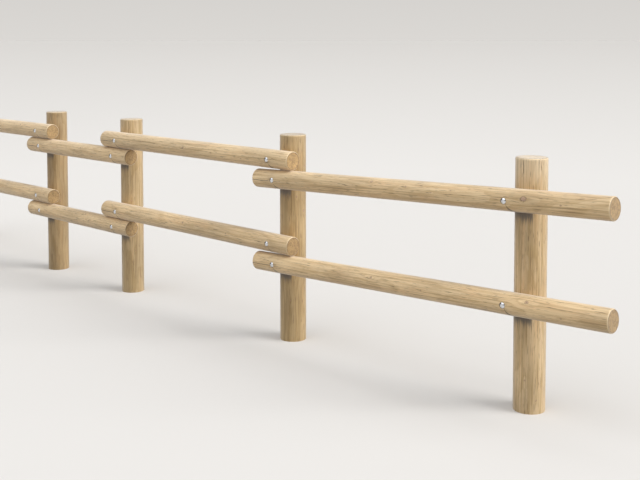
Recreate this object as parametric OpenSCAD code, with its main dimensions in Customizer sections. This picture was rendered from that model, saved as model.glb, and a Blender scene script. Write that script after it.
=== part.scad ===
// Wooden rail fence: round posts with two rows of round rails, bolted through with dome head bolts.
// X runs along the fence, Z is up, and the rails are on the -Y side of the posts.
// The origin is the centre of the first post's foot, at ground level.
// At a shared post the rails of the two bays lie one on the other, so the bays alternate in height.

/* [Posts] */
// Diameter of a round post
post_d = 140; // [130:1:180]
// Height of a post above the ground
post_h = 1100; // [1050:5:1400]
// Bevel round the top edge of a post
post_bevel = 6; // [2:1:12]

/* [Bays] */
// Distance between the posts of a long bay, centre to centre
long_bay = 1450; // [1100:10:2400]
// Distance between the posts of the short bay, centre to centre
short_bay = 880; // [700:10:1400]

/* [Rails] */
// Diameter of a round rail
rail_d = 100; // [80:1:120]
// Height of the upper row, where its high and low rails meet
upper_level = 925; // [850:5:960]
// Distance from the upper row down to the lower row
row_spacing = 445; // [300:5:560]
// Bevel round the end of a rail
rail_bevel = 4; // [2:1:8]
// How far a rail runs past its bolt at a shared post
lap_past_bolt = 150; // [110:5:220]
// How far a rail runs past its bolt at the first and the last post
end_past_bolt = 480; // [150:5:700]
// Depth of the saddle in a post that a rail is seated in
saddle_depth = 8; // [4:1:20]
// Clearance between a rail and its saddle, and between a rail and the rail under it
seat_gap = 0.3; // [0.1:0.1:1]

/* [Bolts] */
// Diameter of a bolt's shank
bolt_d = 10; // [8:1:12]
// Diameter of a bolt's dome head
head_d = 24.6; // [20:0.2:30]
// Height of a bolt's dome head
head_h = 5.4; // [4:0.2:8]
// Length of the square neck under the head
neck_l = 6.4; // [4:0.2:10]
// Width of a nut across its flats
nut_w = 17; // [15:0.5:19]
// Thickness of a nut
nut_t = 8; // [6:0.5:10]
// Diameter of a washer
washer_d = 30; // [24:1:36]
// Thickness of a washer
washer_t = 2.5; // [1.5:0.5:4]
// Length of bolt that stands out past its nut
past_nut = 5; // [2:0.5:10]
// Distance of each bolt from the middle of its joint, toward its own bay
bolt_stagger = 20; // [15:1:24]
// Distance of the joints on the third and fourth posts from the post's axis, toward the bay between
joint_shift = 18; // [0:1:20]
// Distance of the bolts in the first and the last post from the post's axis, toward their bay
end_shift = 38; // [0:1:40]
// How much wider a drilled hole is than the bolt
hole_gap = 1; // [0.6:0.1:2]
// How much wider a nut's bore or a neck's pocket is than what it holds
close_gap = 0.2; // [0.1:0.1:0.4]
// Margin of flat wood round a bolt's head or a washer
flat_margin = 1; // [0.5:0.5:2]
// Depth of the wall round a flat at its shallowest
flat_lip = 0.4; // [0.2:0.1:1]

/* [Hidden] */
$fn = 64;
// A cut runs this far past the surface that it opens.
over = 1;

bay_w = [long_bay, short_bay, long_bay, long_bay];
bays = len(bay_w);
posts = bays + 1;
rows = ["upper", "lower"];
sides = ["left", "right"];

// Where each post's joint lies along the fence, from the post's axis.
joint_at = [end_shift, 0, joint_shift, -joint_shift, -end_shift];
// Height of each bay's rails at its left and right ends: 1 on top of the joint, -1 below, 0 midway.
lift = [[1, 1], [-1, -1], [1, 1], [-1, 0]];

post_r = post_d / 2;
rail_r = rail_d / 2;
half_stack = (rail_d + seat_gap) / 2;
rail_y = -(post_r + rail_r - saddle_depth);

// The heads and washers sit on flats that are deep enough to be full circles.
head_flat_r = head_d / 2 + flat_margin;
washer_flat_r = washer_d / 2 + flat_margin;
head_y = rail_y - sqrt(rail_r ^ 2 - head_flat_r ^ 2) + flat_lip;
farthest_bolt = max(end_shift, joint_shift + bolt_stagger);
washer_y = sqrt(post_r ^ 2 - (farthest_bolt + washer_flat_r) ^ 2) - flat_lip;
bolt_l = washer_y + washer_t + nut_t + past_nut - head_y;
bolt_bevel = bolt_d / 10;
hole_r = (bolt_d + hole_gap) / 2;

wood = [0.80, 0.67, 0.50];
rail_wood = [0.84, 0.70, 0.54];
steel = [0.78, 0.79, 0.80];

function post_x(i) = i == 1 ? 0 : post_x(i - 1) + bay_w[i - 2];

// The post at one side of a bay, and whether that post ends the fence.
function post_of(b, side) = side == "left" ? b : b + 1;
function is_end(b, side) = post_of(b, side) == 1 || post_of(b, side) == posts;

// The direction from a side of a bay out past its post.
function outward(side) = side == "left" ? -1 : 1;

function bolt_x(b, side) =
    let (i = post_of(b, side), stagger = is_end(b, side) ? 0 : bolt_stagger)
    post_x(i) + joint_at[i - 1] - outward(side) * stagger;

function rail_end_x(b, side) =
    bolt_x(b, side) + outward(side) * (is_end(b, side) ? end_past_bolt : lap_past_bolt);

function row_z(row) = row == "upper" ? upper_level : upper_level - row_spacing;

// A rail has its stated height at the tip of the rail that it laps, or at its bolt in an end post.
function level_x(b, side) =
    is_end(b, side)
        ? bolt_x(b, side)
        : rail_end_x(b + outward(side), side == "left" ? "right" : "left");

function level_z(b, row, side) = row_z(row) + lift[b - 1][side == "left" ? 0 : 1] * half_stack;

function rail_slope(b, row) =
    (level_z(b, row, "right") - level_z(b, row, "left")) / (level_x(b, "right") - level_x(b, "left"));

// Height of a rail's axis at a place along the fence.
function rail_z(b, row, x) =
    level_z(b, row, "left") + rail_slope(b, row) * (x - level_x(b, "left"));

// A round bar along +Z, with a bevel at its foot and one at its top.
module round_bar(r, length, foot_bevel, top_bevel) {
    rotate_extrude()
        polygon([
            [0, 0],
            [r - foot_bevel, 0],
            [r, foot_bevel],
            [r, length - top_bevel],
            [r - top_bevel, length],
            [0, length]
        ]);
}

// Places its children at the left end of a rail, with +Z along the rail to the right.
module along_rail(b, row) {
    start = rail_end_x(b, "left");
    translate([start, rail_y, rail_z(b, row, start)])
        rotate([0, 90 - atan(rail_slope(b, row)), 0])
            children();
}

function rail_l(b, row) =
    (rail_end_x(b, "right") - rail_end_x(b, "left")) * sqrt(1 + rail_slope(b, row) ^ 2);

// Places its children on a bolt's axis, at the height y across the fence, with +Z toward the back.
module on_bolt(b, row, side, y) {
    x = bolt_x(b, side);
    translate([x, y, rail_z(b, row, x)])
        rotate([-90, 0, 0])
            children();
}

// Does its children once for each rail end that is bolted to a post.
module on_each_bolt(i, y) {
    for (row = rows) {
        if (i > 1) on_bolt(i - 1, row, "right", y) children();
        if (i < posts) on_bolt(i, row, "left", y) children();
    }
}

module saddle_cut(b, row) {
    along_rail(b, row)
        cylinder(r = rail_r + seat_gap, h = rail_l(b, row));
}

module post(i) {
    color(wood)
        difference() {
            translate([post_x(i), 0, 0])
                round_bar(post_r, post_h, 0, post_bevel);
            for (row = rows) {
                if (i > 1) saddle_cut(i - 1, row);
                if (i < posts) saddle_cut(i, row);
            }
            on_each_bolt(i, -post_r)
                cylinder(r = hole_r, h = post_d);
            on_each_bolt(i, washer_y)
                cylinder(r = washer_flat_r, h = post_r - washer_y + over);
        }
}

module rail(b, row) {
    color(rail_wood)
        difference() {
            along_rail(b, row)
                round_bar(rail_r, rail_l(b, row), rail_bevel, rail_bevel);
            for (side = sides) {
                on_bolt(b, row, side, head_y - rail_r)
                    cylinder(r = head_flat_r, h = rail_r);
                on_bolt(b, row, side, head_y - over)
                    cylinder(r = hole_r, h = rail_d + over);
                on_bolt(b, row, side, head_y)
                    neck(bolt_d + close_gap, neck_l + close_gap);
            }
        }
}

module neck(w, length) {
    translate([-w / 2, -w / 2, 0])
        cube([w, w, length]);
}

module dome_head() {
    dome_r = ((head_d / 2) ^ 2 + head_h ^ 2) / (2 * head_h);
    intersection() {
        translate([0, 0, dome_r - head_h])
            sphere(r = dome_r);
        translate([0, 0, -head_h])
            cylinder(d = head_d, h = head_h);
    }
}

module bolt(b, row, side) {
    color(steel)
        on_bolt(b, row, side, head_y) {
            dome_head();
            neck(bolt_d, neck_l);
            round_bar(bolt_d / 2, bolt_l, 0, bolt_bevel);
        }
}

module washers(i) {
    color(steel)
        on_each_bolt(i, washer_y)
            difference() {
                cylinder(d = washer_d, h = washer_t);
                translate([0, 0, -over])
                    cylinder(r = hole_r, h = washer_t + 2 * over);
            }
}

module nuts(i) {
    color(steel)
        on_each_bolt(i, washer_y + washer_t)
            difference() {
                cylinder(d = nut_w / cos(30), h = nut_t, $fn = 6);
                translate([0, 0, -over])
                    cylinder(d = bolt_d + close_gap, h = nut_t + 2 * over);
            }
}

for (i = [1 : posts]) {
    post(i);
    washers(i);
    nuts(i);
}
for (b = [1 : bays], row = rows) {
    rail(b, row);
    for (side = sides) {
        bolt(b, row, side);
    }
}
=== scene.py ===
import math
import random

import bmesh
import bpy
import numpy as np
from mathutils import Matrix, Vector
from mathutils import noise as field


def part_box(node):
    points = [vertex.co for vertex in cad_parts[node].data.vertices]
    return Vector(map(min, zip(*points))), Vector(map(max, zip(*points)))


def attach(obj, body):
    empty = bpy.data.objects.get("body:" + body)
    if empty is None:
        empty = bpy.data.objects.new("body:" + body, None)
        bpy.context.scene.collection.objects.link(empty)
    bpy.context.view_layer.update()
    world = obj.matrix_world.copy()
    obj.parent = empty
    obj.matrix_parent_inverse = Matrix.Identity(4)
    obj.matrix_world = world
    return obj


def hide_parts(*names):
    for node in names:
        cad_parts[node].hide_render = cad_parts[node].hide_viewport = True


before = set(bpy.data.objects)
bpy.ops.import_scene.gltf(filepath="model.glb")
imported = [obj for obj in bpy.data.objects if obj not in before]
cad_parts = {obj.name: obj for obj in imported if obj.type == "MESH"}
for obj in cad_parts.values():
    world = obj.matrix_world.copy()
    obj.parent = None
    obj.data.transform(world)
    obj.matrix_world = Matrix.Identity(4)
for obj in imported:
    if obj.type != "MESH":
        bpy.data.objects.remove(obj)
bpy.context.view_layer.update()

bl_info = {
    "name": "Wooden Rail Fence",
    "version": (1, 0, 0),
    "blender": (4, 5, 0),
    "location": "3D View > Sidebar > Fence",
    "description": "Peeled log posts and rails with their dome head bolts, on the packed model",
    "category": "Add Mesh",
}

MM = 0.001
TURN = 2 * math.pi


def node_names(start):
    return sorted(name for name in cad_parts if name.startswith(start))


POSTS = node_names("post_")
RAILS = node_names("rail_")
BOLTS = node_names("bolt_")
WASHERS = node_names("washers_")
NUTS = node_names("nuts_")

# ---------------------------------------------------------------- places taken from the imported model


def mid(lo, hi, axis):
    return (lo[axis] + hi[axis]) / 2


def bolt_place(bolt):
    """Where a bolt's axis lies along the fence, and its height."""
    lo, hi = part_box(bolt)
    return mid(lo, hi, 0), mid(lo, hi, 2)


def rail_bolts(rail):
    """The names of the bolts through a rail, left and then right."""
    return [f"{rail.replace('rail', 'bolt')}_{side}" for side in ("left", "right")]


def post_bolts(post):
    """The names of the bolts through a post."""
    number = int(post.split("_")[1])
    ends = [(number - 1, "right"), (number, "left")]
    names = [f"bolt_{bay}_{row}_{side}" for bay, side in ends for row in ("upper", "lower")]
    return [name for name in names if name in BOLTS]


def bolt_rail(bolt):
    bay, row = bolt.split("_")[1:3]
    return f"rail_{bay}_{row}"


def rail_radius(rail):
    lo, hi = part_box(rail)
    return (hi.y - lo.y) / 2


def post_radius(post):
    lo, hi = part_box(post)
    return (hi.x - lo.x) / 2


def rail_axis(rail, bevel):
    """The two ends of a rail's axis."""
    (x1, z1), (x2, z2) = (bolt_place(bolt) for bolt in rail_bolts(rail))
    slope = (z2 - z1) / (x2 - x1)
    lo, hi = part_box(rail)
    lean = (rail_radius(rail) - bevel) * abs(math.sin(math.atan(slope)))
    ends = (lo.x + lean, hi.x - lean)
    return [Vector((x, mid(lo, hi, 1), z1 + slope * (x - x1))) for x in ends]


def post_axis(post):
    lo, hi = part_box(post)
    x, y = mid(lo, hi, 0), mid(lo, hi, 1)
    return [Vector((x, y, lo.z)), Vector((x, y, hi.z))]


# ---------------------------------------------------------------- what a user would change


def length(name, description, default):
    return bpy.props.FloatProperty(name=name, description=description, default=default, unit="LENGTH")


def colour(name, description, default):
    return bpy.props.FloatVectorProperty(
        name=name, description=description, default=default, subtype="COLOR", size=3, min=0, max=1
    )


class FenceWood(bpy.types.PropertyGroup):
    """Sizes and colours of the posts and rails."""

    post_bevel: length("Post bevel", "Bevel round the top edge of a post", 4.5 * MM)
    rail_bevel: length("Rail bevel", "Bevel round the end of a rail", 4 * MM)
    waviness: length("Waviness", "How far a log's surface dips below a true cylinder", 0.7 * MM)
    ring_width: length("Ring width", "Distance between two growth rings", 3.4 * MM)
    seat_gap: length("Seat gap", "Clearance between a rail and its saddle", 0.3 * MM)
    pale: colour("Pale wood", "Early wood of the rails", (0.835, 0.645, 0.395))
    tan: colour("Tan wood", "Late wood of the rails", (0.595, 0.415, 0.21))
    streak: colour("Dark streak", "Short dark dashes in the grain", (0.26, 0.165, 0.085))
    warm: colour("Warm patch", "Orange patches along the grain", (0.70, 0.47, 0.25))
    knot: colour("Knot", "Middle of a knot", (0.50, 0.31, 0.235))
    post_pale: colour("Pale post wood", "Early wood of the posts", (0.72, 0.55, 0.345))
    post_tan: colour("Tan post wood", "Late wood of the posts", (0.475, 0.33, 0.16))
    bevel: colour("Bevel", "Freshly planed bevels", (0.80, 0.65, 0.43))
    top_lightening: colour("Top lightening", "Colour added near a post's top", (0.11, 0.12, 0.12))
    # Painted shade: the walls of cracks and holes take this near black colour, and so do the marks round
    # the bolts.
    crack: colour("Crack", "Inside of a drying check", (0.11, 0.065, 0.035))
    # Painted shade: mostly the rails' shadow on the posts, with a little grey stain.
    shade_and_stain: colour("Rail shade and stain", "Grey stain under the rails", (0.125, 0.112, 0.102))


class FenceSteel(bpy.types.PropertyGroup):
    """Sizes and colours of the bolts, washers and nuts."""

    head_height: length("Head height", "Height of a bolt's dome head", 5.4 * MM)
    head_diameter: length("Head diameter", "Diameter of a bolt's dome head", 24.6 * MM)
    neck_length: length("Neck length", "Length of the square neck under the head", 6.4 * MM)
    shank_diameter: length("Shank diameter", "Diameter of a bolt's shank", 10 * MM)
    thread_pitch: length("Thread pitch", "Distance between two turns of the thread", 1.5 * MM)
    nut_width: length("Nut width", "Width of a nut across its flats", 17 * MM)
    washer_diameter: length("Washer diameter", "Diameter of a washer", 30 * MM)
    bore_diameter: length("Washer bore", "Diameter of the hole in a washer", 11 * MM)
    bright: colour("Bright zinc", "Zinc on the bolts", (0.72, 0.73, 0.745))
    dull: colour("Dull zinc", "Patches where the zinc has gone dull", (0.56, 0.57, 0.58))


class FenceStage(bpy.types.PropertyGroup):
    """Colours and strengths of the floor and the light."""

    # Painted light: the floor is lighter near the fence and darker far from it.
    floor: colour("Floor", "Floor near the fence", (0.708, 0.695, 0.681))
    far_floor: colour("Far floor", "Floor far from the fence", (0.578, 0.564, 0.547))
    bounce: colour("Bounce", "What the floor throws back up", (0.36, 0.335, 0.30))
    sky: bpy.props.FloatProperty(name="Sky", description="Light from all round", default=0.25, min=0)
    top: bpy.props.FloatProperty(name="Top light", description="Light from above", default=1.2, min=0)
    side: bpy.props.FloatProperty(name="Side light", description="Light from the right", default=2.9, min=0)
    fill: bpy.props.FloatProperty(name="Fill light", description="Light from the front", default=1.0, min=0)


# ---------------------------------------------------------------- meshes


def place_on(along, front=Vector((0, -1, 0))):
    """Turns a piece so that its Z runs along a direction and its X faces front."""
    return Matrix((front, along.cross(front), along)).transposed().to_4x4()


def add_object(name, points, faces, matrix=None):
    mesh = bpy.data.meshes.new(name)
    mesh.from_pydata([tuple(point) for point in points], [], faces)
    mesh.validate()
    thing = bpy.data.objects.new(name, mesh)
    thing.matrix_world = matrix or Matrix.Identity(4)
    bpy.context.scene.collection.objects.link(thing)
    return thing


def ring_faces(rings, columns, first=0):
    """The quads between rings of points that are stored one after the other."""
    faces = []
    for row in range(rings - 1):
        start = first + row * columns
        for column in range(columns):
            after = (column + 1) % columns
            faces.append((start + column, start + after, start + columns + after, start + columns + column))
    return faces


def bar(name, start, end, radius, sides):
    """A closed straight bar, used to cut holes and saddles."""
    along = (end - start).normalized()
    across = along.orthogonal().normalized()
    other = along.cross(across)
    points = []
    for centre in (start, end):
        for side in range(sides):
            angle = TURN * side / sides
            points.append(centre + radius * (math.cos(angle) * across + math.sin(angle) * other))
    faces = ring_faces(2, sides)
    faces.append(tuple(range(sides - 1, -1, -1)))
    faces.append(tuple(range(sides, 2 * sides)))
    return add_object(name, points, faces)


def neck_pocket(name, x, y, z, width, depth):
    """A closed box, used to cut the pocket for a bolt's square neck."""
    points = [(x + a * width / 2, y + b * depth, z + c * width / 2)
              for b in (0, 1) for a, c in ((-1, -1), (1, -1), (1, 1), (-1, 1))]
    faces = ring_faces(2, 4) + [(3, 2, 1, 0), (4, 5, 6, 7)]
    pocket = add_object(name, points, faces)
    make_outward(pocket.data)
    return pocket


def make_outward(mesh):
    shape = bmesh.new()
    shape.from_mesh(mesh)
    bmesh.ops.recalc_face_normals(shape, faces=shape.faces)
    shape.to_mesh(mesh)
    shape.free()


def check_closed(thing):
    shape = bmesh.new()
    shape.from_mesh(thing.data)
    open_edges = sum(not edge.is_manifold for edge in shape.edges)
    shape.free()
    if open_edges:
        raise RuntimeError(f"{thing.name} has {open_edges} edges that aren't closed")


def cut(thing, cutters):
    """Cuts each cutter out of a piece, for good, and deletes the cutters."""
    for cutter in cutters:
        modifier = thing.modifiers.new(cutter.name, "BOOLEAN")
        modifier.operation = "DIFFERENCE"
        modifier.solver = "MANIFOLD"
        modifier.object = cutter
    graph = bpy.context.evaluated_depsgraph_get()
    mesh = bpy.data.meshes.new_from_object(thing.evaluated_get(graph))
    thing.modifiers.clear()
    before, thing.data = thing.data, mesh
    bpy.data.meshes.remove(before)
    mesh.name = thing.name
    for cutter in cutters:
        bpy.data.meshes.remove(cutter.data)


def finish_piece(thing, material, slot, *nodes, sharp=35):
    """Shades a piece, gives it its material, and puts it in the frame in place of its CAD nodes."""
    thing.data.shade_smooth()
    thing.data.set_sharp_from_angle(angle=math.radians(sharp))
    thing.data.materials.clear()
    thing.data.materials.append(material)
    check_closed(thing)
    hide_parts(*nodes)
    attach(thing, "root")


# ---------------------------------------------------------------- logs

# The columns round a log, the distance between its rows, and the rings that close its ends, as shares of
# its radius.
COLUMNS = 84
ROW_STEP = 12 * MM
CAP_RINGS = (0.985, 0.95, 0.86, 0.72, 0.55, 0.36, 0.17)
# How far a sawn end is dished.
CAP_DISH = 0.25 * MM
# A bevel's rows, as shares of the bevel: the distance from the log's end, and how far it is pulled in.
BEVEL_STEPS = ((0, 1), (0.12, 0.82), (0.86, 0.11), (1.15, 0))
# The columns across a crack: the place, from -2 at one edge to 2 at the other, and the share of its depth.
CRACK_STEPS = ((-2, 0.0), (-1, 0.5), (0, 1.0), (1, 0.5), (2, 0.0))
# Plain columns keep this far from a crack, and those within its reach stray with it, in radians.
CRACK_ROOM = 0.055
CRACK_REACH = 0.5
# Half the width between a crack's outer columns where it is closed.
CLOSED_CRACK = 0.25 * MM
# The distance from a bolt over which a log's surface comes back to a true cylinder.
CALM = 70 * MM


class Crack:
    """A drying check: it runs from start to end along a log, at an angle round it."""

    def __init__(self, start, end, angle, width, depth, wander=0.05):
        self.start, self.end, self.angle = start * MM, end * MM, math.radians(angle)
        self.width, self.depth, self.wander = width * MM, depth * MM, wander

    def openness(self, z, log_length):
        """How open the crack is at each height, from 0 to 1. It stays open where it reaches an end."""
        share = (z - self.start) / (self.end - self.start)
        inside = (share >= 0) & (share <= 1)
        from_start = np.ones_like(z) if self.start <= 0 else np.clip(share * 3.2, 0, 1)
        from_end = np.ones_like(z) if self.end >= log_length else np.clip((1 - share) * 1.5, 0, 1)
        ripple = 0.85 + 0.15 * np.sin(z * 170 + self.angle * 9)
        return np.where(inside, np.sqrt(from_start * from_end) * ripple, 0.0)

    def path(self, z):
        """How far round the log the crack has strayed at each height, in radians."""
        return self.wander * (np.sin(z * 9 + self.angle * 5) + 0.4 * np.sin(z * 31 + self.angle * 11))


def wrap(angle):
    return (angle + math.pi) % TURN - math.pi


def log_columns(cracks):
    """Base angles of the columns round a log, and the crack, place and depth of those in a crack."""
    columns = [(step * TURN / COLUMNS - math.pi, None, 0, 0.0) for step in range(COLUMNS)]
    columns = [c for c in columns if all(abs(wrap(c[0] - k.angle)) > CRACK_ROOM for k in cracks)]
    for crack in cracks:
        for place, depth in CRACK_STEPS:
            columns.append((wrap(crack.angle), crack, place, depth))
    return sorted(columns, key=lambda c: (c[0], c[2]))


def log_rows(log_length, foot_bevel, top_bevel):
    """Heights of the rows of a log, and how far the bevels pull each one in."""
    rows = [(0, 0), (1.5 * MM, 0)]
    if foot_bevel:
        rows = [(along * foot_bevel, inward * foot_bevel) for along, inward in BEVEL_STEPS]
    steps = max(2, round(log_length / ROW_STEP))
    rows += [(log_length * step / steps, 0) for step in range(1, steps)]
    for along, inward in reversed(BEVEL_STEPS):
        rows.append((log_length - along * top_bevel, inward * top_bevel))
    return rows


def waves(way, height, drift):
    """How far a log's surface dips at a place, as a share of its waviness."""
    broad = field.noise(way * 1.3 + Vector((0, 0, height * 4)) + drift)
    narrow = field.noise(way * 4.5 + Vector((0, 0, height * 9)) + drift * 2)
    return 0.5 + 0.38 * broad + 0.22 * narrow


def swelling(knots, angle, height, radius):
    """How far the knots near a place raise a log's surface."""
    total = 0.0
    for knot in knots:
        apart = math.hypot(wrap(angle - knot.angle) * radius, (height - knot.z) * 0.6)
        total += knot.swell * math.exp(-(apart / (2.2 * knot.radius)) ** 2)
    return total


def log_mesh(name, matrix, log_length, radius, bevels, cracks, knots, calm, waviness, seed):
    """A peeled log along Z with its drying checks, knot swellings and slightly dished sawn ends."""
    columns = log_columns(cracks)
    rows = log_rows(log_length, *bevels)
    z = np.array([row[0] for row in rows])
    pulled = np.array([row[1] for row in rows])
    base = np.array([column[0] for column in columns])
    angles = np.tile(base, (len(z), 1))
    dent = np.zeros_like(angles)
    for crack in cracks:
        away = np.abs(wrap(base - wrap(crack.angle)))
        hold = np.where(away < CRACK_REACH, 0.5 + 0.5 * np.cos(np.pi * away / CRACK_REACH), 0)
        angles += crack.path(z)[:, None] * hold[None, :]
    for index, (_, crack, place, depth) in enumerate(columns):
        if crack is None:
            continue
        openness = crack.openness(z, log_length)
        half = CLOSED_CRACK + crack.width / 2 * openness
        angles[:, index] += place / 2 * half / radius
        dent[:, index] = depth * crack.depth * openness
    still = np.ones_like(z)
    for height in calm:
        still = np.minimum(still, np.clip(np.abs(z - height) / CALM, 0, 1))
    points = []
    drift = Vector((seed * 7.3, seed * 3.1, seed * 5.7))
    for row, height in enumerate(z):
        for column, angle in enumerate(angles[row]):
            way = Vector((math.cos(angle), math.sin(angle), 0))
            dip = waviness * waves(way, height, drift) * still[row]
            swell = swelling(knots, angle, height, radius)
            uneven = pulled[row] * (1 + 0.16 * field.noise(way * 2.4 + drift * 3))
            reach = radius - max(dip, 0) - uneven - dent[row, column] + swell * still[row]
            points.append(way * reach + Vector((0, 0, height)))
    faces = ring_faces(len(z), len(columns))
    faces += cap(points, 0, len(columns), 0.0, 1, drift)
    faces += cap(points, (len(z) - 1) * len(columns), len(columns), log_length, -1, drift)
    thing = add_object(name, points, faces, matrix)
    make_outward(thing.data)
    return thing


def cap(points, first, columns, height, inward, drift):
    """Closes one end of a log with rings of faces that follow the rim, and returns the faces."""
    faces = []
    rim = [points[first + column].copy() for column in range(columns)]
    rings = [[first + column for column in range(columns)]]
    for share in CAP_RINGS:
        ring = []
        for corner in rim:
            place = Vector((corner.x * share, corner.y * share, height))
            place.z += inward * CAP_DISH * (1 + field.noise(place * 60 + drift))
            ring.append(len(points))
            points.append(place)
        rings.append(ring)
    middle = len(points)
    points.append(Vector((0, 0, height + inward * CAP_DISH)))
    for outer, inner in zip(rings, rings[1:]):
        for column in range(columns):
            after = (column + 1) % columns
            faces.append((outer[column], inner[column], inner[after], outer[after]))
    for column in range(columns):
        faces.append((rings[-1][column], middle, rings[-1][(column + 1) % columns]))
    return faces


class Knot:
    """A knot on a log's surface: its height, angle round the log and radius."""

    def __init__(self, z, angle, radius, swirl=1.0, swell=0.5):
        self.z, self.angle, self.radius = z * MM, math.radians(angle), radius * MM
        self.swirl, self.swell = swirl, swell * MM

    def centre(self, log_radius):
        return (log_radius * math.cos(self.angle), log_radius * math.sin(self.angle), self.z)


# A log has one knot of its own for each of these lengths, at least this far from its ends. They are on its
# back, between these angles in degrees, if it has placed ones too.
KNOT_SPACING = 260 * MM
KNOT_MARGIN = 70 * MM
BACK = (95, 265)
# Knots as (place along the log in mm, angle round it in degrees, radius in mm, swirl of the grain).
# The angle 0 is the front, and it grows downward on a rail and toward the right on a post.
PLACED_KNOTS = {
    "rail_4_upper": ((1656, -18, 10, 1.3), (825, -43, 5, 1.5), (1035, -30, 4, 0.9), (1288, -29, 2.5, 0.4),
                     (1831, -3, 3, 0.5), (1182, -10, 2.5, 0.4)),
    "rail_4_lower": ((1676, -34, 6, 1.1), (828, -25, 5, 1.5), (1837, 14, 3, 0.5), (1129, -3, 2.5, 0.4)),
    "rail_3_upper": ((829, -11, 5, 1.6), (1077, -1, 3, 0.6), (1324, 13, 3, 0.5), (426, -17, 3, 0.6)),
    "rail_3_lower": ((820, -23, 5, 1.6), (1199, -11, 3, 0.6)),
    "rail_2_upper": ((664, -33, 4, 1.0), (406, -53, 3, 0.8)),
    "rail_1_upper": ((1667, -37, 4, 0.8),),
    "post_5": ((146, 15, 3, 0.6), (61, 55, 3, 0.6), (488, -8, 3.5, 0.8)),
    "post_4": ((936, 106, 5, 0.9), (698, 98, 5, 0.9), (777, 60, 3.5, 0.7), (222, 34, 3, 0.6)),
    "post_3": ((588, 50, 4, 0.8), (269, 68, 3.5, 0.6)),
    "post_2": ((485, 72, 4, 0.8),),
}
# Drying checks as (start, end, angle, width, depth), in the same way. Each log adds some of its own.
PLACED_CRACKS = {
    "post_5": ((1030, 1100, 2, 3.4, 9), (1046, 1100, 66, 2.8, 8), (1064, 1100, 76, 2.0, 6)),
    "post_4": ((1005, 1100, 4, 3.2, 8), (1045, 1100, 85, 2.6, 7), (1052, 1100, 22, 2.2, 6)),
    "post_3": ((1025, 1100, 40, 3.0, 7), (1050, 1100, 75, 2.4, 6)),
    "post_2": ((1030, 1100, 30, 3.0, 7), (1055, 1100, 62, 2.4, 6)),
    "rail_4_upper": ((0, 235, 3, 3.2, 8), (1640, 1690, -14, 1.4, 3)),
    "rail_4_lower": ((0, 250, 3, 3.2, 8),),
    "rail_3_upper": ((0, 225, 4, 3.4, 8),),
    "rail_3_lower": ((0, 240, 4, 3.4, 8),),
    "rail_2_upper": ((0, 190, 5, 3.2, 7),),
    "rail_2_lower": ((0, 205, 5, 3.2, 7),),
}
# How much of its red, green and blue each post's wood keeps, and how much lighter its top is made, from the
# first post to the last.
POST_SHADES = ((0.76, 0.73, 0.65, 0.2), (0.66, 0.63, 0.56, 0.2), (0.83, 0.83, 0.79, 0.2),
               (0.79, 0.76, 0.66, 0.2), (1.0, 1.0, 0.98, 1.0))


def shaded(shade, share):
    return [part * much for part, much in zip(shade, share)]


def log_knots(name, log_length, chance):
    """The placed knots of a log, and some of its own on the sides that they leave bare."""
    knots = [Knot(*place) for place in PLACED_KNOTS.get(name, ())]
    for _ in range(round(log_length / KNOT_SPACING)):
        z = chance.uniform(KNOT_MARGIN, log_length - KNOT_MARGIN) / MM
        angle = chance.uniform(*(BACK if name in PLACED_KNOTS else (0, 360)))
        size = chance.uniform(2.5, 7)
        swirl = chance.uniform(0.5, 1.5)
        knots.append(Knot(z, math.degrees(wrap(math.radians(angle))), size, swirl))
    return knots


def log_cracks(name, log_length, chance):
    """The placed drying checks of a log, and some of its own on its back."""
    cracks = [Crack(*place) for place in PLACED_CRACKS.get(name, ())]
    reach = log_length / MM
    spans = ((0, chance.uniform(120, 260), 148), (reach * 0.35, reach * 0.72, -165),
             (reach - chance.uniform(120, 260), reach, -112))
    for start, end, angle in spans:
        angle += chance.uniform(-9, 9)
        cracks.append(Crack(start, end, angle, chance.uniform(1.0, 2.2), chance.uniform(4, 9), 0.035))
    return cracks


# ---------------------------------------------------------------- shader nodes

ORIGIN = (0, 0, 0)
WHITE = (1, 1, 1, 1)
FAR_FROM_KNOTS = 9.0
# Waves per metre of each pattern in the wood, twice across the log and then along it.
WAVES = {
    "stray": (3, 3, 1.7),
    "ripple": (22, 22, 3.5),
    "fibres": (430, 430, 5),
    "hairs": (900, 900, 12),
    "streaks": (150, 150, 3.2),
    "dashes": (300, 300, 20),
    "tone": (9, 9, 3.0),
    "patches": (30, 30, 4.5),
    "grit": (900, 900, 900),
    "mottle": (75, 75, 75),
    "knot edge": (150, 150, 110),
    "knot breaks": (210, 210, 210),
    "knot fissures": (480, 480, 260),
    "rim": (70, 70, 70),
    "drips": (330, 330, 3),
    "bleach edge": (120, 120, 4),
    "waver": (120, 120, 120),
}


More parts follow.
